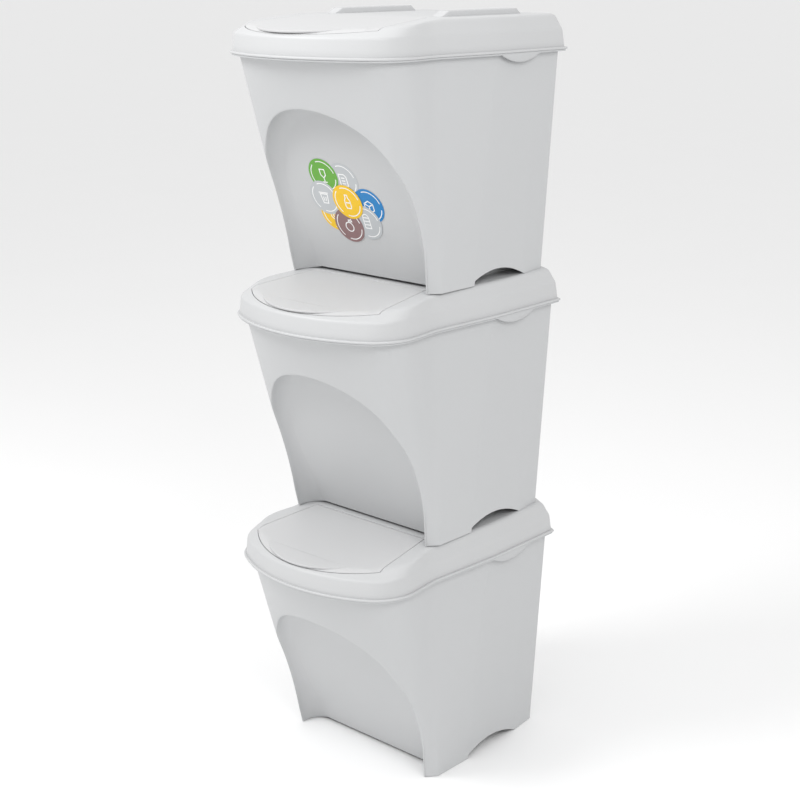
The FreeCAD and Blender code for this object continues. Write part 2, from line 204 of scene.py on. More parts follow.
class Finish:
    # one material, and the way to add nodes to it

    def __init__(self, name):
        self.material = bpy.data.materials.new(name)
        self.material.use_nodes = True
        self.tree = self.material.node_tree
        self.tree.nodes.clear()

    def node(self, kind, settings=None, inputs=None, output=0):
        made = self.tree.nodes.new(kind)
        for key, value in (settings or {}).items():
            setattr(made, key, value)
        for key, value in (inputs or {}).items():
            if isinstance(value, Wire):
                self.tree.links.new(value.socket, made.inputs[key])
            else:
                made.inputs[key].default_value = value
        return Wire(self, made.outputs[output])

    def place(self):
        return self.node("ShaderNodeTexCoord", output="Object")

    def noise(self, scale, detail=2.0, rough=0.5):
        return self.node("ShaderNodeTexNoise", {"noise_dimensions": "3D"},
                         {"Vector": self.place(), "Scale": scale, "Detail": detail, "Roughness": rough})

    def blendColours(self, mask, a, b):
        return self.node("ShaderNodeMix", {"data_type": "RGBA"}, {0: mask, 6: a, 7: b}, output=2)

    def output(self, inputs):
        shader = self.node("ShaderNodeBsdfPrincipled", None, inputs)
        out = self.tree.nodes.new("ShaderNodeOutputMaterial")
        self.tree.links.new(shader.socket, out.inputs["Surface"])
        return self.material


plastic = {
    "binLight": (0.526, 0.533, 0.540, 1.0),
    "binDark": (0.506, 0.513, 0.519, 1.0),
    "lidLight": (0.542, 0.547, 0.552, 1.0),
    "lidDark": (0.521, 0.526, 0.532, 1.0),
    "flapLight": (0.549, 0.551, 0.555, 1.0),
    "flapDark": (0.529, 0.531, 0.536, 1.0),
    "grainScale": 1500.0,        # spark-eroded mould grain, about 0.7 mm across
    "grainDepth": 0.00006,
    "cloudScale": 7.0, "flowScale": 28.0,     # cloudy tone and faint flow marks
    "roughness": 0.46,
}


def mouldedPlastic(name, light, dark):
    f = Finish(name)
    cloud = f.noise(plastic["cloudScale"], 3.0)
    speck = f.noise(plastic["grainScale"] * 0.7, 1.0)
    grain = f.noise(plastic["grainScale"], 2.0, 0.6)
    flow = f.noise(plastic["flowScale"], 4.0, 0.6)
    shade = cloud * 0.7 + speck * 0.3
    colour = f.blendColours(shade, dark, light)
    rough = plastic["roughness"] - 0.05 + flow * 0.06 + speck * 0.05
    relief = f.node("ShaderNodeBump", None,
                    {"Strength": 0.55, "Distance": plastic["grainDepth"], "Height": grain + speck * 0.5})
    return f.output({"Base Color": colour, "Roughness": rough, "Normal": relief,
                     "IOR": 1.5, "Specular IOR Level": 0.42})


binPlastic = mouldedPlastic("binPlastic", plastic["binLight"], plastic["binDark"])
lidPlastic = mouldedPlastic("lidPlastic", plastic["lidLight"], plastic["lidDark"])
flapPlastic = mouldedPlastic("flapPlastic", plastic["flapLight"], plastic["flapDark"])
print("plastics made")


outline = {
    "frontY": -196.0, "backY": 196.0,
    "bulge": 138.5, "waist": 133.5, "side": 141.0,
    "waistY": -58.0, "creaseFrontY": 50.0, "creaseBackY": 126.0,
    "frontRadius": 215.0, "cornerRadius": 60.0,
    "chamferX": 24.0, "chamferY": 14.0,
}
curves = {}


def lidCurve(front, side, back):
    # the right half of the outline, set in; at(place) takes section plus fraction, 0 to 8
    key = (front, side, back)
    if key in curves:
        return curves[key]
    o = outline
    big = o["frontRadius"] - front
    small = o["cornerRadius"] - (front + side) / 2
    bigY = o["frontY"] + front + big
    cornerX = o["bulge"] - side - small
    cornerY = bigY - math.sqrt((big - small) ** 2 - cornerX ** 2)
    meet = math.atan2(cornerY - bigY, cornerX)
    rear = o["side"] - side
    backY = o["backY"] - back
    third = (o["waistY"] - cornerY) / 3
    a, d = (o["bulge"] - side, cornerY), (o["waist"] - side, o["waistY"])
    b, c = (a[0], a[1] + third), (d[0], d[1] - third)
    ends = [(o["waist"] - side, o["waistY"]), (rear, o["creaseFrontY"]), (rear, o["creaseBackY"]),
            (rear, backY - o["chamferY"]), (rear - o["chamferX"], backY), (0.0, backY)]

    def at(place):
        section = min(int(place), 7)
        f = place - section
        if section == 0:
            turn = mix(-math.pi / 2, meet, f)
            return big * math.cos(turn), bigY + big * math.sin(turn)
        if section == 1:
            turn = mix(meet, 0.0, f)
            return cornerX + small * math.cos(turn), cornerY + small * math.sin(turn)
        if section == 2:
            g = 1 - f
            return tuple(g ** 3 * a[k] + 3 * g * g * f * b[k] + 3 * g * f * f * c[k] + f ** 3 * d[k]
                         for k in (0, 1))
        p, q = ends[section - 3], ends[section - 2]
        return mix(p[0], q[0], f), mix(p[1], q[1], f)

    curves[key] = at
    return at


def evenCurve(inset):
    return lidCurve(inset, inset, inset)


def spread(section, fractions):
    return [section + f for f in fractions]


binSizes = {
    "top": 296.0, "rim": 284.0, "rimThick": 2.4, "rimOut": 1.5, "rimSoft": 0.7,
    "inset": 8.0, "wall": 2.4,
    "foot": [(0, -62), (113, -62), (119.5, -54), (126, -46), (127.5, 14), (125.5, 122),
             (121.5, 162.5), (113.5, 170.5), (0, 170.5)],
    "archWide": 122.0, "archFoot": 113.5, "archMiddle": 95.0, "archTop": 222.0,
    "recess": 29.0, "hollow": 22.0, "archEdge": 1.8, "footGap": 3.6,
    "notch": [(16.0, 6.0), (38.9, 13.3), (58.0, 15.5), (95.8, 10.2), (121.0, 0.0)],
    "floor": 18.8, "floorThick": 2.4,
    "gripFront": 50.0, "gripBack": 126.0, "gripDrop": 9.35, "gripX": 139.4, "gripThick": 2.0,
}
footFront = binSizes["foot"][0][1]
lean = math.atan2(footFront - (outline["frontY"] + binSizes["inset"]), binSizes["top"])
sine, cosine = math.sin(lean), math.cos(lean)


def footPoint(place):
    section = min(int(place), 7)
    p, q = binSizes["foot"][section], binSizes["foot"][section + 1]
    return mix(p[0], q[0], place - section), mix(p[1], q[1], place - section)


def binPoint(place, z):
    low = footPoint(place)
    high = evenCurve(binSizes["inset"])(place)
    t = z / binSizes["top"]
    return Vector((mix(low[0], high[0], t), mix(low[1], high[1], t), z))


def fromWall(x, up, out):
    # across, up along the leaning front and out of it
    return Vector((x, footFront - sine * up - cosine * out, cosine * up - sine * out))


def toWall(p):
    y, z = p.y - footFront, p.z
    return Vector((p.x, -sine * y + cosine * z, -cosine * y - sine * z))


def archHalf():
    # points of the arch's right side from the ground to the top, each with its outward way
    middle = binSizes["archMiddle"] / cosine
    top = binSizes["archTop"] / cosine
    wide, foot = binSizes["archWide"], binSizes["archFoot"]
    poles = [Vector((foot, 0)), Vector((foot + 3.0, 0.35 * middle)), Vector((wide, 0.6 * middle)),
             Vector((wide, middle))]
    points = [poles[0]]
    for k in range(1, 11):
        f = k / 10
        g = 1 - f
        points.append(poles[0] * g ** 3 + poles[1] * 3 * g * g * f
                      + poles[2] * 3 * g * f * f + poles[3] * f ** 3)
    for k in range(1, 35):
        turn = math.pi / 2 * k / 34
        points.append(Vector((wide * math.cos(turn), middle + (top - middle) * math.sin(turn))))
    ways = []
    for k, p in enumerate(points):
        a = points[max(k - 1, 0)]
        b = points[min(k + 1, len(points) - 1)]
        along = b - a
        ways.append(unit(Vector((along.y, -along.x))))
    ways[0] = Vector((1.0, 0.0))
    ways[-1] = Vector((0.0, 1.0))
    return points, ways


def outerWall():
    places = [k * 0.02 for k in range(401)]
    heights = [-40.0, 0.0, 60.0, 120.0, 180.0, 240.0, binSizes["top"], binSizes["top"] + 20]
    points = [binPoint(p, z) for z in heights for p in places]
    wide = len(places)
    faces = [(r * wide + c, r * wide + c + 1, (r + 1) * wide + c + 1, (r + 1) * wide + c)
             for r in range(len(heights) - 1) for c in range(wide - 1)]
    return BVHTree.FromPolygons(points, faces)


wallTree = outerWall()
wallIn = fromWall(0, 0, -1) - fromWall(0, 0, 0)


def wallOut(x, up):
    # how far out of the leaning plane the bin's skin stands at this place
    hit = wallTree.ray_cast(fromWall(max(x, 0.05), up, 150.0), wallIn)
    if hit[0] is None:
        return None
    return toWall(hit[0]).z


def onWall(x, up, ground):
    if ground:
        out = 0.0
        for _ in range(8):
            out = wallOut(x, sine / cosine * out)
        p = fromWall(x, sine / cosine * out, out)
        p.z = 0.0
        return p
    return fromWall(x, up, wallOut(x, up))


def recessProfile(steps):
    # from the open front inwards: how far in from the arch and how far out of the plane
    r = binSizes["hollow"]
    deep = binSizes["recess"]
    line = [(0.0, out) for out in (40.0, 20.0, 8.0, 0.0, -(deep - r))]
    for k in range(1, steps + 1):
        turn = math.pi / 2 * k / steps
        line.append((r * (1 - math.cos(turn)), -(deep - r) - r * math.sin(turn)))
    return line


def profilePoint(base, way, inset, out, ground):
    up = sine / cosine * out if ground else base.y - way.y * inset
    return fromWall(base.x - way.x * inset, up, out)


def archSection(base, way, ground):
    # the points of one cut from the front wall over the arch's edge to the recess's back
    line = recessProfile(24)

    def along(s):
        k = min(int(s), len(line) - 2)
        return mix(line[k][0], line[k + 1][0], s - k), mix(line[k][1], line[k + 1][1], s - k)

    def aheadOfSkin(s):
        inset, out = along(s)
        q = toWall(profilePoint(base, way, inset, out, ground))
        skin = wallOut(q.x, q.y)
        return skin is None or out > skin

    low, high = 0.0, len(line) - 1.0
    for _ in range(40):
        middle = (low + high) / 2
        if aheadOfSkin(middle):
            low = middle
        else:
            high = middle
    edge = profilePoint(base, way, *along(low), ground)
    flat = toWall(edge)
    r = binSizes["archEdge"]
    wall = onWall(flat.x + way.x * r, flat.y + way.y * r, ground)
    rest = [edge]
    steps = int((len(line) - 1 - low) * 12)
    for k in range(1, steps + 1):
        rest.append(profilePoint(base, way, *along(mix(low, len(line) - 1.0, k / steps)), ground))
    return wall, edge, rest


def evenly(points, count):
    # count + 1 points at equal distances along a line of points
    lengths = [0.0]
    for a, b in zip(points, points[1:]):
        lengths.append(lengths[-1] + (b - a).length)
    made = []
    k = 0
    for n in range(count + 1):
        want = lengths[-1] * n / count
        while k < len(points) - 2 and lengths[k + 1] < want:
            k += 1
        span = lengths[k + 1] - lengths[k]
        made.append(mix(points[k], points[k + 1], (want - lengths[k]) / span if span else 0.0))
    return made


def cutFrom(points, distance):
    # the line of points with its first stretch taken off
    left = distance
    for k, (a, b) in enumerate(zip(points, points[1:])):
        step = (b - a).length
        if step > left:
            return [mix(a, b, left / step)] + points[k + 1:]
        left -= step
    return points[-2:]


def placeOn(p):
    # the outline place that a point of the front wall lies on
    low, high = 0.0, 3.0
    for _ in range(40):
        middle = (low + high) / 2
        q = binPoint(middle, p.z)
        if q.x + q.y < p.x + p.y:
            low = middle
        else:
            high = middle
    return (low + high) / 2


def notchRise(y):
    total = 0.0
    table = binSizes["notch"]
    if y < table[0][0] or y > table[-1][0]:
        return 0.0
    for k, (yk, zk) in enumerate(table):
        share = zk
        for m, (ym, _) in enumerate(table):
            if m != k:
                share *= (y - ym) / (yk - ym)
        total += share
    return max(total, 0.0)


cornerPlace = 2.25       # where the front's patch meets the side's rows
turnIndex = 29           # the arch point that looks at the patch's upper corner
archPoints, archWays = archHalf()
last = len(archPoints) - 1
sideHeights = [binSizes["rim"] * k / turnIndex for k in range(turnIndex + 1)]
topSteps = last - turnIndex
frontTop = [cornerPlace - cornerPlace * k / topSteps for k in range(topSteps + 1)]
# places of the side's and back's rows, closer together beside a crease
sidePlaces = ([cornerPlace] + spread(2, (0.4, 0.55, 0.7, 0.85, 0.96))
              + spread(3, (0.0, 0.15, 0.35, 0.55, 0.75, 0.9, 0.97, 0.99)) + [4.0, 4.006, 4.0185, 4.0190]
              + spread(4, (0.05, 0.1, 0.2, 0.3, 0.4, 0.5, 0.6, 0.7, 0.8, 0.9, 0.96, 0.9907))
              + spread(5, (0.0, 0.03, 0.1, 0.3, 0.5, 0.7, 0.9, 0.97)) + spread(6, (0.0, 0.12, 0.5, 0.88))
              + spread(7, (0.0, 0.03, 0.1, 0.3, 0.5, 0.7, 0.85, 1.0)))


def binSkin():
    half = HalfMesh()
    sections = [archSection(p, w, k == 0) for k, (p, w) in enumerate(zip(archPoints, archWays))]
    # front wall, from the arch's edge to the corner and the rim
    patch = []
    for k, (wall, edge, rest) in enumerate(sections):
        start = placeOn(wall)
        if k <= turnIndex:
            end, high = cornerPlace, sideHeights[k]
        else:
            end, high = frontTop[k - turnIndex], binSizes["rim"]
        patch.append([wall] + [binPoint(mix(start, end, n / 14), mix(wall.z, high, n / 14))
                               for n in range(1, 15)])
    half.rows(patch)
    # rounded edge of the arch, the hollow corner and the back of the recess
    hollow = []
    for k, (wall, edge, rest) in enumerate(sections):
        inner = cutFrom(rest, binSizes["archEdge"])
        back = evenly(inner, 12)
        middle = Vector((0.0, back[-1].y, back[-1].z))
        panel = [mix(back[-1], middle, n / 10) for n in range(1, 11)]
        if k == 0:          # the panel stops a little above what it stands on
            lift = Vector((0, -sine / cosine, 1)) * binSizes["footGap"]
            back = [p + lift * (n / 12) ** 3 for n, p in enumerate(back)]
            panel = [p + lift for p in panel]
        hollow.append(bend(wall, edge, inner[0], 4) + back[1:] + panel)
    half.rows(hollow)
    # sides and back, with the notch between the feet
    side = []
    for place in sidePlaces:
        rise = notchRise(footPoint(place)[1]) if 4.0188 < place < 4.9908 else 0.0
        side.append([binPoint(place, rise + (1 - rise / binSizes["rim"]) * z) for z in sideHeights])
    half.rows(side)
    # the stretch of wall above the rim
    ring = frontTop[::-1] + sidePlaces[1:]
    rim, top = binSizes["rim"], binSizes["top"]
    half.rows([[binPoint(p, z) for p in ring] for z in (rim, mix(rim, top, 0.5), top)])
    return meshObject("bin_wall", half.build(), thickness=binSizes["wall"], sharp=40.0,
                      outward=((0, 187, 150), (0, 1, 0))), ring


def binRim(ring):
    half = HalfMesh()
    low, high = binSizes["rim"] - binSizes["rimThick"], binSizes["rim"]
    soften = binSizes["rimSoft"]
    curve = evenCurve(binSizes["rimOut"])
    curveIn = evenCurve(binSizes["rimOut"] + soften)
    rows = []
    for place in ring:
        x, y = curve(place)
        u, v = curveIn(place)
        wall = binPoint(place, high)
        inside = Vector((wall.x * 0.994, wall.y + (0.9 if place < 1.5 else -0.9 if place > 6 else 0), 0))
        s, t = mix(u, x, 0.7), mix(v, y, 0.7)       # partway round the softened edge
        rows.append([(inside.x, inside.y, low), (u, v, low), (s, t, low + 0.2), (x, y, low + soften),
                     (x, y, high - soften), (s, t, high - 0.2), (u, v, high), (inside.x, inside.y, high)])
    half.rows(rows, closed=True)
    # the crescent grip that hangs from the rim
    g = binSizes
    middle = (g["gripFront"] + g["gripBack"]) / 2
    reach = (g["gripBack"] - g["gripFront"]) / 2
    radius = (reach ** 2 + g["gripDrop"] ** 2) / (2 * g["gripDrop"])
    grip = []
    for k in range(25):
        y = mix(g["gripFront"], g["gripBack"], k / 24)
        drop = math.sqrt(radius ** 2 - (y - middle) ** 2) - (radius - g["gripDrop"])
        foot = low - drop
        a, b = g["gripX"] - g["gripThick"], g["gripX"]
        edge = foot + min(0.6, drop * 0.5)
        grip.append([(a, y, low + 1.2), (a, y, edge), (a + 0.5, y, foot), (b - 0.5, y, foot),
                     (b, y, edge), (b, y, low + 1.2)])
    half.rows(grip, closed=True)
    return meshObject("bin_rim", half.build(), sharp=50.0)


def binFloor():
    half = HalfMesh()
    z = binSizes["floor"]
    bury = binSizes["wall"] / 2          # the floor's edge ends in the middle of the wall
    points = []
    for inset, out in recessProfile(12)[4:]:
        up = (z + sine * (out - bury)) / cosine
        x = binSizes["archFoot"] + 1.6 - inset + 0.6
        points.append(fromWall(x, up, out - bury))
    start = points[-1].copy()
    start.x = 0.0
    outer = []
    for place in [1.9] + sidePlaces:
        p = binPoint(place, z)
        outer.append(Vector((max(p.x - bury, 0.0), p.y - (bury if place > 6 else 0), z)))
    loop = [start] + points[::-1] + outer
    for p in loop:
        p.z = z + binSizes["floorThick"] / 2
    loop.append(Vector((0.0, loop[-1].y, loop[-1].z)))
    half.fan(loop)
    return meshObject("bin_floor", half.build(), thickness=binSizes["floorThick"],
                      outward=((0, 60, z), (0, 0, 1)))


wallPiece, ringPlaces = binSkin()
binPiece = joined([wallPiece, binRim(ringPlaces), binFloor()], "bin_whole")
onEachLevel(binPiece, "bin", "bin", binPlastic)
print("bins made")


lidSizes = {
    "rim": 284.0, "crease": 309.0, "top": 328.0, "wall": 2.4,
    "skirt": 2.5, "creaseIn": 5.0, "topIn": (41.0, 12.5, 13.0),
    "creaseRound": 3.0, "edgeRound": 5.0, "bevel": 0.35,
    "beadHeight": 3.0, "beadRound": 0.9,
    "fall": 0.088, "fallFrom": -43.0,
    "ridgeInner": 80.0, "ridgeOuter": 96.0, "ridgeFront": -14.0, "ridgeBack": 142.0,
    "ridgeHigh": 7.0, "ridgeFrontWedge": 14.0, "ridgeBackWedge": 8.4, "ridgeRound": 1.6,
    "ledge": 5.0, "ledgeThick": 2.0, "ledgeClear": 0.4, "stepWall": 2.4,
    "innerBack": 157.0, "innerChamfer": 7.0,
    "socket": (98.99, 106.99), "socketHalf": 4.0, "socketLow": 319.5, "boreRadius": 1.68,
}
flapSizes = {
    "backY": -43.0, "backHalf": 96.5, "corner": (109.5, -141.5), "frontY": -186.0,
    "thick": 2.4, "gap": 0.9, "backGap": 2.0, "bevel": 0.35,
    "lipHalf": 72.0, "lipSide": -158.0, "lipFront": -188.5, "lipRise": 0.05,
    "hinge": (-49.0, 323.2), "pinRadius": 1.6, "ear": (91.29, 95.29), "earHalf": 3.0, "pinEnd": 104.99,
}


def fallHeight(y):
    return lidSizes["top"] - lidSizes["fall"] * max(lidSizes["fallFrom"] - y, 0.0)


def circleThrough(corner, frontY):
    # middle and radius of the arc through both corners and the front's middle point
    x, y = corner
    middle = (x * x + y * y - frontY * frontY) / (2 * (y - frontY))
    return middle, middle - frontY


def flapEdge(grow, rear):
    f = flapSizes
    slope = (f["corner"][0] - f["backHalf"]) / (f["backY"] - f["corner"][1])
    corner = (f["corner"][0] + grow, f["corner"][1])
    back = (f["backHalf"] + grow - slope * rear, f["backY"] + rear)
    return corner, back, circleThrough(corner, f["frontY"] - grow)


class LidLine:
    # one line over the lid's outside, from the skirt's foot inwards across the top

    def __init__(self, place):
        s = lidSizes
        foot = evenCurve(s["skirt"])(place)
        crease = evenCurve(s["creaseIn"])(place)
        top = lidCurve(*s["topIn"])(place)
        self.foot = Vector((*foot, s["rim"]))
        self.crease = Vector((*crease, s["crease"]))
        self.top = Vector((*top, s["top"]))
        # the band ends where it meets the level or falling top
        low, high = 0.0, 1.0
        for _ in range(40):
            t = (low + high) / 2
            p = mix(self.crease, self.top, t)
            if p.z < fallHeight(p.y):
                low = t
            else:
                high = t
        self.edge = mix(self.crease, self.top, low)

    def outside(self, spine):
        # points over the rounded crease and the rounded upper edge to a point on the top
        s = lidSizes
        first = filletAt(self.foot, self.crease, self.edge, s["creaseRound"], 6)
        second = filletAt(self.crease, self.edge, spine, s["edgeRound"], 6)
        return first, second + [spine]


def lidInner(place):
    # the line on the lid's top that the outside lines end on, behind the opening
    s = lidSizes
    x = flapEdge(flapSizes["gap"], flapSizes["backGap"])[1][0]
    y0 = flapSizes["backY"] + flapSizes["backGap"]
    back, cut = s["innerBack"], s["innerChamfer"]
    if place < 6:
        line = lidCurve(*s["topIn"])(place)
        y = max(line[1], y0) if place < 5 else mix(outline["creaseBackY"], back, place - 5)
        return Vector((x, y, s["top"]))
    if place < 7:
        f = place - 6
        return Vector((x - cut * f, back + cut * f, s["top"]))
    return Vector(((x - cut) * (1 - (place - 7)), back + cut, s["top"]))


cornerEnd, backEnd, frontArc = flapEdge(flapSizes["gap"], flapSizes["backGap"])
creaseCurve = evenCurve(lidSizes["creaseIn"])
gCorner = 1.25           # the outline place that looks at the opening's front corner
gBack = 3.0 + (backEnd[1] - outline["waistY"]) / (outline["creaseFrontY"] - outline["waistY"])


def openingAt(place):
    # the point of the opening's edge that this outline place looks at
    if place <= gCorner:
        middle, radius = frontArc
        turn = math.atan2(cornerEnd[1] - middle, cornerEnd[0])
        a = mix(-math.pi / 2, turn, place / gCorner)
        return Vector((radius * math.cos(a), middle + radius * math.sin(a)))
    first, final = creaseCurve(gCorner)[1], creaseCurve(gBack)[1]
    f = (creaseCurve(place)[1] - first) / (final - first)
    return mix(Vector(cornerEnd), Vector(backEnd), f)


ridgeSteps = 12
lidPlaces = sorted(set(
    [k / 22 for k in range(22)] + spread(1, [k / 14 for k in range(14)])
    + spread(2, [k / 8 for k in range(8)])
    + spread(3, (0.0, 0.25, 0.5, 0.75, 0.9)) + spread(4, (0.0, 0.15, 0.3, 0.5, 0.7, 0.85))
    + spread(5, (0.0, 0.15, 0.35, 0.6, 0.85, 0.96)) + spread(6, (0.0, 0.06, 0.5, 0.94))
    + spread(7, [k / ridgeSteps for k in range(ridgeSteps)]) + [8.0, gCorner, gBack]))
# no two rows lie too near each other, and the opening's two corners always stay
lidPlaces = [p for k, p in enumerate(lidPlaces)
             if k == 0 or p - lidPlaces[k - 1] > 0.004 or p in (gCorner, gBack)]
lidPlaces = [p for p in lidPlaces
             if p in (gCorner, gBack) or min(abs(p - gCorner), abs(p - gBack)) > 0.006]


topSpine = Vector((0.0, -60.0, fallHeight(-60.0)))


def blankTop():
    half = HalfMesh()
    rows = []
    for place in lidPlaces:
        line = LidLine(place)
        first, second = line.outside(topSpine if place < gBack else lidInner(place))
        rows.append(first + second)
    half.rows(rows)
    points = [Vector((p.x * s, p.y, p.z)) for s in (1, -1) for p in half.points]
    count = len(half.points)
    faces = list(half.faces) + [tuple(i + count for i in f) for f in half.faces]
    # the level middle behind the hinge and the falling middle in front of it
    start = len(points)
    points += [Vector((x, y, fallHeight(y))) for y in (-150.0, -43.0, 170.0) for x in (-100.0, 100.0)]
    faces += [(start, start + 1, start + 3, start + 2), (start + 2, start + 3, start + 5, start + 4)]
    return BVHTree.FromPolygons(points, faces)


topTree = blankTop()


def heightAt(x, y):
    # the rounded band and top, whichever is lower where they meet
    hit = topTree.ray_cast(Vector((max(x, 0.05), y, 500.0)), Vector((0, 0, -1)))
    high = hit[0].z if hit[0] is not None else lidSizes["crease"]
    level = fallHeight(y)
    return level if level - high < 0.04 else high


def lidRow(place):
    line = LidLine(place)
    first, _ = line.outside(lidInner(place) if place >= gBack else topSpine)
    start = Vector((first[-1].x, first[-1].y))
    if place < gBack - 1e-6:
        end = openingAt(place)
    else:
        inner = lidInner(place)
        end = Vector((inner.x, inner.y))
    across = []
    for k in range(1, 27):
        p = mix(start, end, (k / 26) ** 1.7)
        across.append(Vector((p.x, p.y, heightAt(p.x, p.y))))
    return [line.foot, mix(line.foot, line.crease, 0.45)] + first + across


def lidSkin():
    half = HalfMesh()
    rows = [lidRow(p) for p in lidPlaces]
    half.rows(rows)
    # the level top behind the opening, out to the middle
    ladder = []
    for place, row in zip(lidPlaces, rows):
        if gBack - 1e-6 <= place <= 7.0:
            end = row[-1]
            middle = Vector((0.0, end.y, end.z))
            ladder.append([mix(end, middle, k / ridgeSteps) for k in range(ridgeSteps + 1)])
    half.rows(ladder)
    return meshObject("lid_shell", half.build(), thickness=lidSizes["wall"],
                      bevel=lidSizes["bevel"], sharp=45.0,
                      outward=((0, 60, 328), (0, 0, 1)))


def lidBead():
    s = lidSizes
    half = HalfMesh()
    r = s["beadRound"]
    low, high = s["rim"], s["rim"] + s["beadHeight"]
    section = [(s["skirt"] + 1.2, low), (r, low), (r * 0.3, low + r * 0.3), (0.0, low + r), (0.0, high - r),
               (r * 0.3, high - r * 0.3), (r, high), (s["skirt"] + 0.4, high), (s["skirt"] + 1.2, high - 0.3)]
    half.rows([[(*evenCurve(i)(place), z) for i, z in section] for place in lidPlaces], closed=True)
    return meshObject("lid_bead", half.build(), sharp=60.0)


def lidRidge():
    s = lidSizes
    half = HalfMesh()
    rows = []
    front, back = s["ridgeFront"], s["ridgeBack"]
    for y in ([front + k * s["ridgeFrontWedge"] / 8 for k in range(9)] + [front + 15.2, front + 17]
              + [20.0, 50.0, 80.0, 110.0] + [back - s["ridgeBackWedge"] - 1.5]
              + [back - s["ridgeBackWedge"] * (1 - k / 6) for k in range(7)]):
        rise = min((y - front) / s["ridgeFrontWedge"], (back - y) / s["ridgeBackWedge"], 1.0)
        h = s["ridgeHigh"] * rise
        if 0.9 < rise <= 1.0:
            h -= 0.25 if rise < 1.0 else 0.0
        r = min(s["ridgeRound"], 0.5 * h + 0.01)
        a, b, z = s["ridgeInner"], s["ridgeOuter"], s["top"]
        rows.append([(a, y, z - 1.0), (a, y, z + h - r), (a + 0.3 * r, y, z + h - 0.3 * r), (a + r, y, z + h),
                     (b - r, y, z + h), (b - 0.3 * r, y, z + h - 0.3 * r), (b, y, z + h - r),
                     (b, y, z - 1.0)])
    half.rows(rows)
    half.fan(rows[0])
    half.fan(rows[-1])
    return meshObject("lid_ridges", half.build(), sharp=50.0)


def lidLedge():
    # the step below the opening's edge and the ledge that the flap comes down on
    s = lidSizes
    under = flapSizes["thick"] + s["ledgeClear"]
    half = HalfMesh()
    rows = []
    for place in [p for p in lidPlaces if p <= gBack + 1e-6]:
        edge = openingAt(place)
        way = unit(edge - Vector(creaseCurve(place)))

        def at(inward, drop):
            p = edge + way * inward
            z = heightAt(p.x, p.y) - drop
            return Vector((p.x, p.y, max(z, s["crease"] - under - s["ledgeThick"])))

        out = -s["stepWall"]
        foot = under + s["ledgeThick"]
        rows.append([at(out, 1.2), at(0.0, 1.2), at(0.0, under), at(s["ledge"], under), at(s["ledge"], foot),
                     at(out, foot)])
    half.rows(rows, closed=True)
    half.fan(rows[-1])
    return meshObject("lid_ledge", half.build(), sharp=50.0)


def lidSockets():
    s = lidSizes
    y, z = flapSizes["hinge"]
    a, b = s["socket"]
    high = s["top"] - s["wall"] + 0.5
    turns = [2 * math.pi * k / 24 for k in range(24)]
    outer = []
    for t in turns:
        c, d = math.cos(t), math.sin(t)
        grow = 1 / max(abs(c), abs(d))
        outer.append((y + s["socketHalf"] * min(max(c * grow, -1), 1),
                      z + (high - z if d > 0 else z - s["socketLow"]) * min(max(d * grow, -1), 1)))
    bore = [(y + s["boreRadius"] * math.cos(t), z + s["boreRadius"] * math.sin(t)) for t in turns]
    half = HalfMesh()
    half.rows([[(b, y, z)] * 24, [(b, *p) for p in outer], [(a, *p) for p in outer], [(a, *p) for p in bore],
               [(b - 1.5, *p) for p in bore], [(b - 1.5, y, z)] * 24], closed=True)
    return meshObject("lid_sockets", half.build(), sharp=40.0)


lidPiece = joined([lidSkin(), lidBead(), lidRidge(), lidLedge(), lidSockets()], "lid_whole")
onEachLevel(lidPiece, "lid", "lid", lidPlastic)
print("lids made")


def flapSkin():
    f = flapSizes
    corner, back, (middle, radius) = flapEdge(0.0, 0.0)
    edge = []
    turn = math.atan2(corner[1] - middle, corner[0])
    for k in range(25):
        a = mix(-math.pi / 2, turn, k / 24)
        edge.append((radius * math.cos(a), middle + radius * math.sin(a)))
    for k in range(1, 15):
        edge.append((mix(corner[0], back[0], k / 14), mix(corner[1], back[1], k / 14)))
    for k in range(1, 13):
        edge.append((back[0] * (1 - k / 12), back[1]))
    # shares of the way from the middle line out to the edge, closer together over the band
    shares = [0.0, 0.25, 0.5, 0.68, 0.76, 0.81, 0.84, 0.865, 0.885, 0.9, 0.915, 0.93, 0.945, 0.96, 0.975,
              0.99, 1.0]
    half = HalfMesh()
    rows = []
    for x, y in edge:
        row = []
        for share in shares:
            px, py = mix(0.0, x, share), mix(mix(-100.0, y, 0.55), y, share)
            row.append((px, py, heightAt(px, min(py, f["backY"] - 0.01))))
        rows.append(row)
    half.rows(rows)
    # the level lip over the falling front edge
    lip = []
    lipMiddle, lipRadius = circleThrough((f["lipHalf"], f["lipSide"]), f["lipFront"])
    end = math.asin(f["lipHalf"] / lipRadius)
    for k in range(21):
        a = end * k / 20
        x = lipRadius * math.sin(a)
        front = lipMiddle - lipRadius * math.cos(a)
        depths = [mix(f["lipSide"], front, n / 8) for n in range(9)]
        lip.append([(x, depth, fallHeight(depth) + f["lipRise"]) for depth in depths])
    half.rows(lip[:-1])
    return meshObject("flap_shell", half.build(), thickness=f["thick"], bevel=f["bevel"], sharp=45.0,
                      outward=((0, -60, 326), (0, 0, 1)))


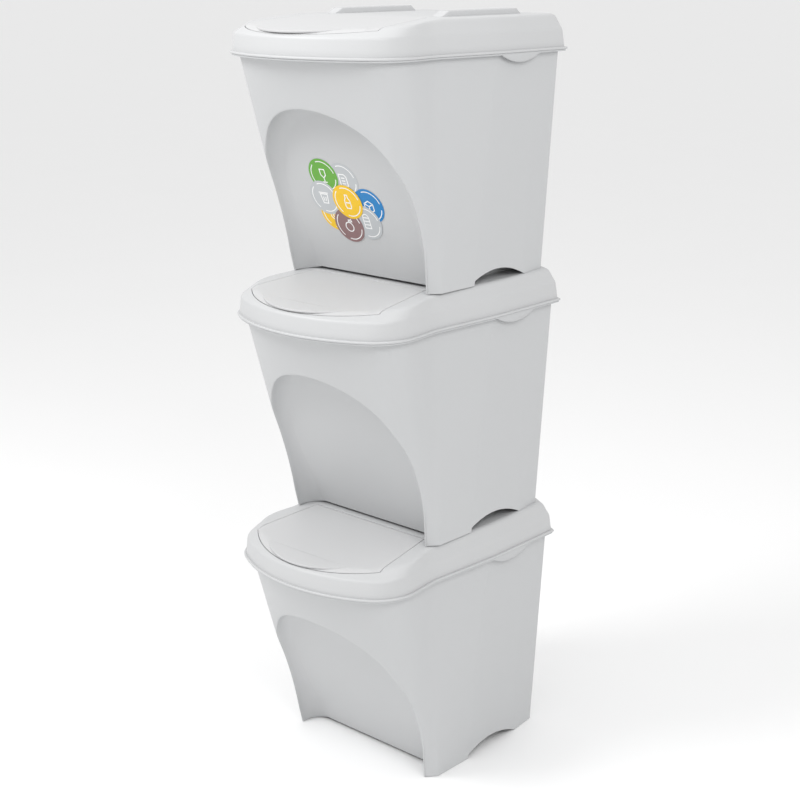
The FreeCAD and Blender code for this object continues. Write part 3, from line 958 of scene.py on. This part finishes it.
def flapHinge():
    f = flapSizes
    y, z = f["hinge"]
    a, b = f["ear"]
    r = f["earHalf"]
    top = lidSizes["top"] - 1.6
    halfTurn = [math.pi + math.pi * k / 12 for k in range(13)]
    loop = [(y + r * math.cos(t), z + r * math.sin(t)) for t in halfTurn]
    loop += [(y + r, top), (y - r, top)]
    half = HalfMesh()
    half.rows([[(x, *p) for p in loop] for x in (a, b)], closed=True)
    half.fan([(a, *p) for p in loop])
    half.fan([(b, *p) for p in loop])
    turns = [2 * math.pi * k / 20 for k in range(20)]

    def ring(x, radius):
        return [(x, y + radius * math.cos(t), z + radius * math.sin(t)) for t in turns]

    p = f["pinRadius"]
    end = f["pinEnd"]
    half.rows([ring(b - 0.5, p), ring(end - 0.5, p), ring(end, p - 0.5), ring(end, 0.0)], closed=True)
    return meshObject("flap_hinge", half.build(), sharp=40.0)


flapPiece = joined([flapSkin(), flapHinge()], "flap_whole")
onEachLevel(flapPiece, "flap", "flap", flapPlastic)
print("flaps made")


labelSizes = {
    "thick": 0.15, "lift": 0.02,
    "line": 1.5, "ring": 20.0, "ringLine": 1.3,
    "colours": {
        "label_green": ((0.105, 0.345, 0.030, 1.0), (0.125, 0.380, 0.040, 1.0)),
        "label_yellow": ((0.800, 0.490, 0.006, 1.0), (0.840, 0.530, 0.010, 1.0)),
        "label_blue": ((0.008, 0.180, 0.460, 1.0), (0.012, 0.205, 0.500, 1.0)),
        "label_brown": ((0.225, 0.130, 0.130, 1.0), (0.260, 0.155, 0.155, 1.0)),
        "label_grey": ((0.440, 0.460, 0.475, 1.0), (0.490, 0.510, 0.525, 1.0)),
    },
    "ink": ((0.80, 0.80, 0.79, 1.0), (0.86, 0.86, 0.86, 1.0)),
}


def printedFilm(name, dark, light):
    f = Finish(name)
    cloud = f.noise(60.0, 3.0)
    dots = f.noise(2600.0, 1.0)
    colour = f.blendColours(cloud * 0.6 + dots * 0.4, dark, light)
    relief = f.node("ShaderNodeBump", None, {"Strength": 0.25, "Distance": 0.00003, "Height": dots})
    return f.output({"Base Color": colour, "Roughness": 0.30 + cloud * 0.10, "Normal": relief, "IOR": 1.45})


films = {slot: printedFilm(slot.replace("label_", "film_"), *pair)
         for slot, pair in labelSizes["colours"].items()}
whiteInk = printedFilm("film_white", *labelSizes["ink"])


def circleLine(x, y, radius, start, end, steps=16):
    turns = [math.radians(mix(start, end, k / steps)) for k in range(steps + 1)]
    return [(x + radius * math.cos(t), y + radius * math.sin(t)) for t in turns]


# Each picture is a few lines, in millimetres from the label's middle.
pictures = {
    "label_plastic": [
        [(-3.5, -9), (-4.5, -6), (-4.5, 2), (-2, 6), (-2, 10), (2, 10), (2, 6), (4.5, 2), (4.5, -6),
         (3.5, -9), (-3.5, -9)],
        [(-4.5, -1), (4.5, -1)]],
    "label_glass": [
        [(-4, 9), (-4, 1), (0, -3), (4, 1), (4, 9), (-4, 9)],
        [(0, -3), (0, -9)], [(-4, -9), (4, -9)]],
    "label_paper": [
        [(-6, -8), (-6, 8), (3, 8), (6, 5), (6, -8), (-6, -8)],
        [(-3, 3), (3, 3)], [(-3, -1), (3, -1)], [(-3, -5), (3, -5)]],
    "label_card": [
        [(-7, -6), (-7, 3), (0, 7), (7, 3), (7, -6), (0, -9), (-7, -6)],
        [(-7, 3), (0, -0.5), (7, 3)], [(0, -0.5), (0, -9)]],
    "label_metal": [
        [(-5, -8), (-5, 7), (5, 7), (5, -8), (-5, -8)],
        circleLine(0, 7, 5, 0, 180), [(-5, -3), (5, -3)], [(-5, 2), (5, 2)]],
    "label_foil": [circleLine(-2, -2, 6, 20, 340), circleLine(-2, -2, 2.2, 0, 360), [(4, -1), (9, 5)]],
    "label_mixed": [
        [(-6, 5), (-4, -8), (4, -8), (6, 5), (-6, 5)],
        [(-8, 7), (8, 7)], [(-2, 1), (-1.5, -5)], [(2, 1), (1.5, -5)]],
    "label_compost": [
        circleLine(0, -2, 6.5, 60, 420, 24),
        [(0, 4), (1, 9)], [(1, 7), (5, 9), (6, 6), (1, 5)]],
}


def strokes(lines, width):
    # flat ribbons along lines, each as a list of left and right points
    made = []
    for line in lines:
        points = [Vector(p) for p in line]
        rows = []
        closed = (points[0] - points[-1]).length < 1e-6
        for k, p in enumerate(points):
            before = points[k - 1] if k else points[-2] if closed else None
            after = points[k + 1] if k + 1 < len(points) else points[1] if closed else None
            a = unit(p - before) if before is not None else unit(after - p)
            b = unit(after - p) if after is not None else a
            way = a + b
            way = unit(way) if way.length > 1e-3 else a
            across = Vector((-way.y, way.x))
            grow = min(1 / max(abs(across.dot(Vector((-a.y, a.x)))), 0.5), 1.6)
            rows.append((p + across * width / 2 * grow, p - across * width / 2 * grow))
        made.append(rows)
    return made


labelUp = Vector((0, -sine, cosine))
labelAway = Vector((0, -cosine, -sine))
for name, lines in pictures.items():
    node = frame["nodes"][name]
    slotName = [s["material_slot"] for s in frame["record"]["subparts"] if s["node"] == name][0]
    node.data.materials.clear()
    node.data.materials.append(films[slotName])
    low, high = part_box(name)
    middle = (low + high) / 2 / mm + labelAway * (labelSizes["thick"] / 2 + labelSizes["lift"])
    ring = [circleLine(0, 0, labelSizes["ring"], a, a + 95) for a in (15, 135, 255)]
    ribbons = strokes(lines, labelSizes["line"]) + strokes(ring, labelSizes["ringLine"])
    ink = HalfMesh()
    for rows in ribbons:
        ink.rows([[middle + Vector((1, 0, 0)) * q.x + labelUp * q.y for q in pair] for pair in rows])
    mesh = bmesh.new()
    made = [mesh.verts.new(p * mm) for p in ink.points]
    for face in ink.faces:
        mesh.faces.new([made[i] for i in face])
    for face in mesh.faces:
        face.normal_update()
        if face.normal.dot(labelAway) < 0:
            face.normal_flip()
    print_ = meshObject(name + "_picture", mesh)
    print_.data.materials.append(whiteInk)
    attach(print_, "top_bin")
print("labels made")


studio = {
    "floorColours": ((0.94, 0.94, 0.94, 1.0), (0.95, 0.95, 0.95, 1.0)), "floorRadius": 40.0,
    "world": (1.0, 1.0, 1.0, 1.0), "worldStrength": 0.86,
    # place, size, power and aim height of each soft light
    "lights": {
        "key": ((-0.7, -1.2, 1.95), 0.8, 17.0, 0.9),
        "front": ((-0.6, -1.9, 1.3), 1.0, 1.0, 0.8),
        "over": ((0.1, 0.0, 2.3), 1.2, 2.0, 0.8),
        "side": ((1.4, -0.8, 1.75), 0.8, 11.0, 0.95),
    },
    "cameraPlace": (1.2842, -1.4292, 1.0520),
    "cameraTurn": (75.112, 0.0, 41.553),
    "lens": 68.07, "shiftY": -0.05,
}

floorMesh = bmesh.new()
bmesh.ops.create_circle(floorMesh, cap_ends=True, radius=studio["floorRadius"], segments=96)
floorFinish = Finish("studioFloor")
mottle = floorFinish.noise(3.0, 2.0)
floorMaterial = floorFinish.output({
    "Base Color": floorFinish.blendColours(mottle, *studio["floorColours"]),
    "Roughness": 0.75 + mottle * 0.1})
floorData = bpy.data.meshes.new("floor")
floorMesh.to_mesh(floorData)
floorMesh.free()
floor = bpy.data.objects.new("floor", floorData)
floor.data.materials.append(floorMaterial)
floor.location.z = -0.0005
bpy.context.scene.collection.objects.link(floor)

world = bpy.data.worlds.new("studio")
world.use_nodes = True
background = world.node_tree.nodes["Background"]
background.inputs["Color"].default_value = studio["world"]
background.inputs["Strength"].default_value = studio["worldStrength"]
bpy.context.scene.world = world

for name, (place, size, power, aim) in studio["lights"].items():
    data = bpy.data.lights.new(name, "AREA")
    data.shape = "DISK"
    data.size = size
    data.energy = power
    light = bpy.data.objects.new(name, data)
    light.location = place
    light.rotation_euler = (Vector((0, 0, aim)) - Vector(place)).to_track_quat("-Z", "Y").to_euler()
    bpy.context.scene.collection.objects.link(light)

cameraData = bpy.data.cameras.new("camera")
cameraData.lens = studio["lens"]
cameraData.sensor_width = 36.0
cameraData.shift_y = studio["shiftY"]
cameraData.clip_end = 200.0
camera = bpy.data.objects.new("camera", cameraData)
camera.location = studio["cameraPlace"]
camera.rotation_euler = [math.radians(a) for a in studio["cameraTurn"]]
bpy.context.scene.collection.objects.link(camera)
bpy.context.scene.camera = camera
bpy.context.scene.view_settings.view_transform = "Standard"
print("stage made")

bpy.context.view_layer.update()
